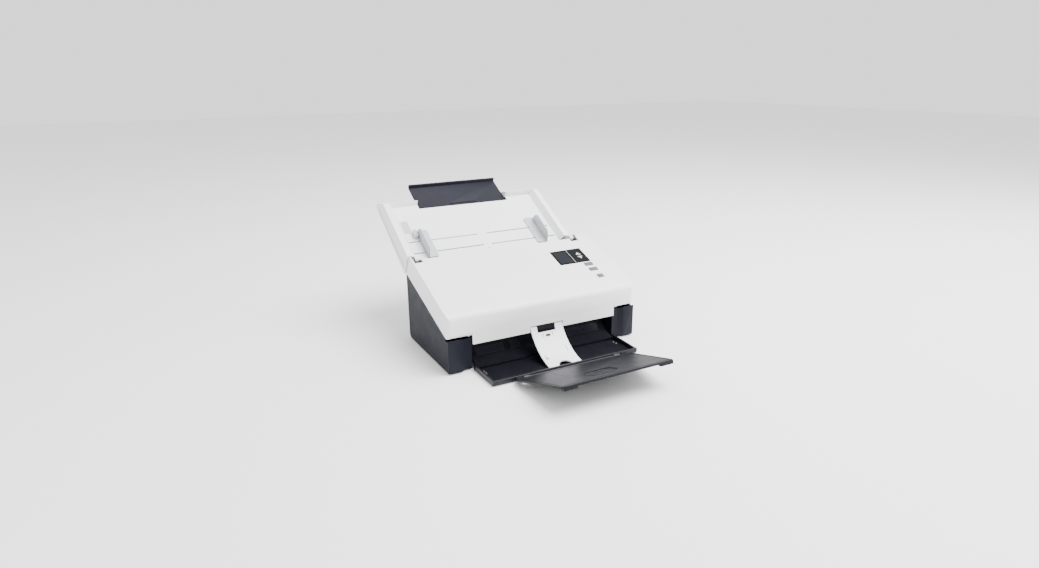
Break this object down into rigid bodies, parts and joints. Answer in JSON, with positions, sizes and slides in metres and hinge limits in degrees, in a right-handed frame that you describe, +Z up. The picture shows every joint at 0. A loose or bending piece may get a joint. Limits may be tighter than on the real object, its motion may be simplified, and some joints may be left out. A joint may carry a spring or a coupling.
{
  "type": "sheet fed document scanner",
  "caption": "Desktop sheet fed document scanner with an opening cover, a folding input tray, sliding paper guides, a pull-out extension and a fold-out exit tray.",
  "frame": {"origin": "centre of the box round the whole machine with both trays open, on the desk", "axes": "+X to the right along the rollers, +Y to the back, +Z up"},
  "size_m": [0.316, 0.4918, 0.2185],
  "materials": {
    "white_shell": "fine satin",
    "slate_shell": "satin",
    "black_tray": "semi gloss",
    "clear_grey": "frosted",
    "panel_black": "high gloss",
    "screen": "dark window",
    "key_grey": "matte",
    "steel": "ground",
    "rubber": "matte",
    "circuit": "solder mask",
    "scan_glass": "clear",
    "inner_plastic": "moulded"
  },
  "bodies": {
    "base": {"base_pan": "slate_shell", "left_side_cover": "slate_shell", "right_side_cover": "slate_shell", "rear_cover": "slate_shell", "output_bin": "black_tray", "left_frame": "inner_plastic", "right_frame": "inner_plastic", "lower_guide": "black_tray", "lower_image_sensor": "inner_plastic", "lower_sensor_glass": "scan_glass", "main_board": "circuit", "drive_motor": "steel", "usb_port": "steel", "power_inlet": "black_tray", "foot_front_left": "rubber", "foot_front_right": "rubber", "foot_rear_left": "rubber", "foot_rear_right": "rubber", "drive_belt": "rubber", "guide_bracket": "black_tray"},
    "switch": {"power_switch": "black_tray"},
    "release": {"cover_release": "slate_shell"},
    "feed_drive": {"feed_shaft": "steel", "feed_roller": "rubber", "feed_pulley": "inner_plastic"},
    "transport_drive": {"transport_shaft": "steel", "transport_rollers": "rubber", "transport_pulley": "inner_plastic"},
    "exit_drive": {"exit_shaft": "steel", "exit_rollers": "rubber", "exit_pulley": "inner_plastic"},
    "motor_drive": {"motor_pulley": "steel"},
    "cover": {"top_cover": "white_shell", "upper_guide": "inner_plastic", "upper_image_sensor": "inner_plastic", "upper_sensor_glass": "scan_glass", "panel_bezel": "panel_black", "display_window": "screen", "cover_pin_left": "steel", "cover_pin_right": "steel"},
    "separation": {"separation_roller": "rubber"},
    "transport_idle": {"transport_idlers": "inner_plastic"},
    "exit_idle": {"exit_idlers": "inner_plastic"},
    "up": {"up_key": "clear_grey"},
    "down": {"down_key": "clear_grey"},
    "scan": {"scan_button": "key_grey"},
    "mode": {"mode_button": "key_grey"},
    "stop": {"stop_button": "key_grey"},
    "tray": {"tray_shell": "white_shell", "tray_plate": "white_shell"},
    "left_slider": {"left_guide": "clear_grey"},
    "right_slider": {"right_guide": "clear_grey"},
    "left_leaf": {"left_fin": "clear_grey"},
    "right_leaf": {"right_fin": "clear_grey"},
    "pinion": {"guide_pinion": "inner_plastic"},
    "extension": {"tray_extension": "slate_shell"},
    "exit_tray": {"output_tray": "black_tray"},
    "flap": {"output_flap": "black_tray", "flap_rod": "steel"},
    "exit_guide": {"output_guide": "white_shell"}
  },
  "joints": [
    {"name": "cover_open", "type": "hinge", "parent": "base", "child": "cover", "pos_m": [0, -0.06264, 0.0556], "axis": [-1, 0, 0], "range_deg": [-60, 0]},
    {"name": "tray_fold", "type": "hinge", "parent": "base", "child": "tray", "pos_m": [0, 0.07196, 0.1335], "axis": [1, 0, 0], "range_deg": [0, 170]},
    {"name": "extension_slide", "type": "slide", "parent": "tray", "child": "extension", "axis": [0, -0.8669, -0.4985], "range_m": [0, 0.05]},
    {"name": "left_guide_slide", "type": "slide", "parent": "tray", "child": "left_slider", "axis": [1, 0, 0], "range_m": [0, 0.075]},
    {"name": "right_guide_slide", "type": "slide", "parent": "tray", "child": "right_slider", "axis": [1, 0, 0], "range_m": [-0.075, 0]},
    {"name": "guide_pinion_turn", "type": "hinge", "parent": "tray", "child": "pinion", "pos_m": [-0.015, 0.11244, 0.14098], "axis": [0, -0.4985, 0.8669], "range_deg": [-430, 0]},
    {"name": "left_fin_fold", "type": "hinge", "parent": "left_slider", "child": "left_leaf", "pos_m": [-0.121, 0.111, 0.14349], "axis": [0, 0.8669, 0.4985], "range_deg": [0, 88]},
    {"name": "right_fin_fold", "type": "hinge", "parent": "right_slider", "child": "right_leaf", "pos_m": [0.091, 0.111, 0.14349], "axis": [0, 0.8669, 0.4985], "range_deg": [-88, 0]},
    {"name": "exit_tray_slide", "type": "slide", "parent": "base", "child": "exit_tray", "axis": [0, 1, 0], "range_m": [0, 0.05]},
    {"name": "output_guide_lift", "type": "hinge", "parent": "base", "child": "exit_guide", "pos_m": [0, -0.06504, 0.0443], "axis": [1, 0, 0], "range_deg": [-52, 0]},
    {"name": "flap_fold", "type": "hinge", "parent": "exit_tray", "child": "flap", "pos_m": [0, -0.13404, 0.006], "axis": [1, 0, 0], "range_deg": [-65, 0]},
    {"name": "up_key_press", "type": "slide", "parent": "cover", "child": "up", "axis": [0, 0.3427, -0.9394], "range_m": [0, 0.001], "stiffness_N_per_m": 350},
    {"name": "down_key_press", "type": "slide", "parent": "cover", "child": "down", "axis": [0, 0.3427, -0.9394], "range_m": [0, 0.001], "stiffness_N_per_m": 350},
    {"name": "scan_press", "type": "slide", "parent": "cover", "child": "scan", "axis": [0, 0.3427, -0.9394], "range_m": [0, 0.0014], "stiffness_N_per_m": 350},
    {"name": "mode_press", "type": "slide", "parent": "cover", "child": "mode", "axis": [0, 0.3427, -0.9394], "range_m": [0, 0.0014], "stiffness_N_per_m": 350},
    {"name": "stop_press", "type": "slide", "parent": "cover", "child": "stop", "axis": [0, 0.3427, -0.9394], "range_m": [0, 0.0014], "stiffness_N_per_m": 350},
    {"name": "release_press", "type": "slide", "parent": "base", "child": "release", "axis": [-1, 0, 0], "range_m": [0, 0.002], "stiffness_N_per_m": 400},
    {"name": "power_slide", "type": "slide", "parent": "base", "child": "switch", "axis": [1, 0, 0], "range_m": [0, 0.004]},
    {"name": "feed_spin", "type": "hinge", "parent": "base", "child": "feed_drive", "pos_m": [0, 0.0619, 0.09969], "axis": [1, 0, 0], "continuous": true},
    {"name": "transport_spin", "type": "hinge", "parent": "base", "child": "transport_drive", "pos_m": [0, 0.03266, 0.08634], "axis": [1, 0, 0], "continuous": true},
    {"name": "exit_spin", "type": "hinge", "parent": "base", "child": "exit_drive", "pos_m": [0, -0.02455, 0.05344], "axis": [1, 0, 0], "continuous": true},
    {"name": "motor_spin", "type": "hinge", "parent": "base", "child": "motor_drive", "pos_m": [0, 0.03196, 0.038], "axis": [1, 0, 0], "continuous": true},
    {"name": "separation_spin", "type": "hinge", "parent": "cover", "child": "separation", "pos_m": [0, 0.05268, 0.11572], "axis": [1, 0, 0], "continuous": true},
    {"name": "transport_idler_spin", "type": "hinge", "parent": "cover", "child": "transport_idle", "pos_m": [0, 0.02543, 0.09891], "axis": [1, 0, 0], "continuous": true},
    {"name": "exit_idler_spin", "type": "hinge", "parent": "cover", "child": "exit_idle", "pos_m": [0, -0.03178, 0.066], "axis": [1, 0, 0], "continuous": true}
  ],
  "couplings": [
    {"joint": "right_guide_slide", "follows": "left_guide_slide", "ratio": -1},
    {"joint": "guide_pinion_turn", "follows": "left_guide_slide", "rad_per_m": -100},
    {"joint": "left_fin_fold", "follows": "tray_fold", "ratio": 0.51765},
    {"joint": "right_fin_fold", "follows": "tray_fold", "ratio": -0.51765},
    {"joint": "output_guide_lift", "follows": "exit_tray_slide", "rad_per_m": -17.453},
    {"joint": "transport_spin", "follows": "feed_spin", "ratio": 1},
    {"joint": "exit_spin", "follows": "feed_spin", "ratio": 1},
    {"joint": "motor_spin", "follows": "feed_spin", "ratio": 1}
  ]
}
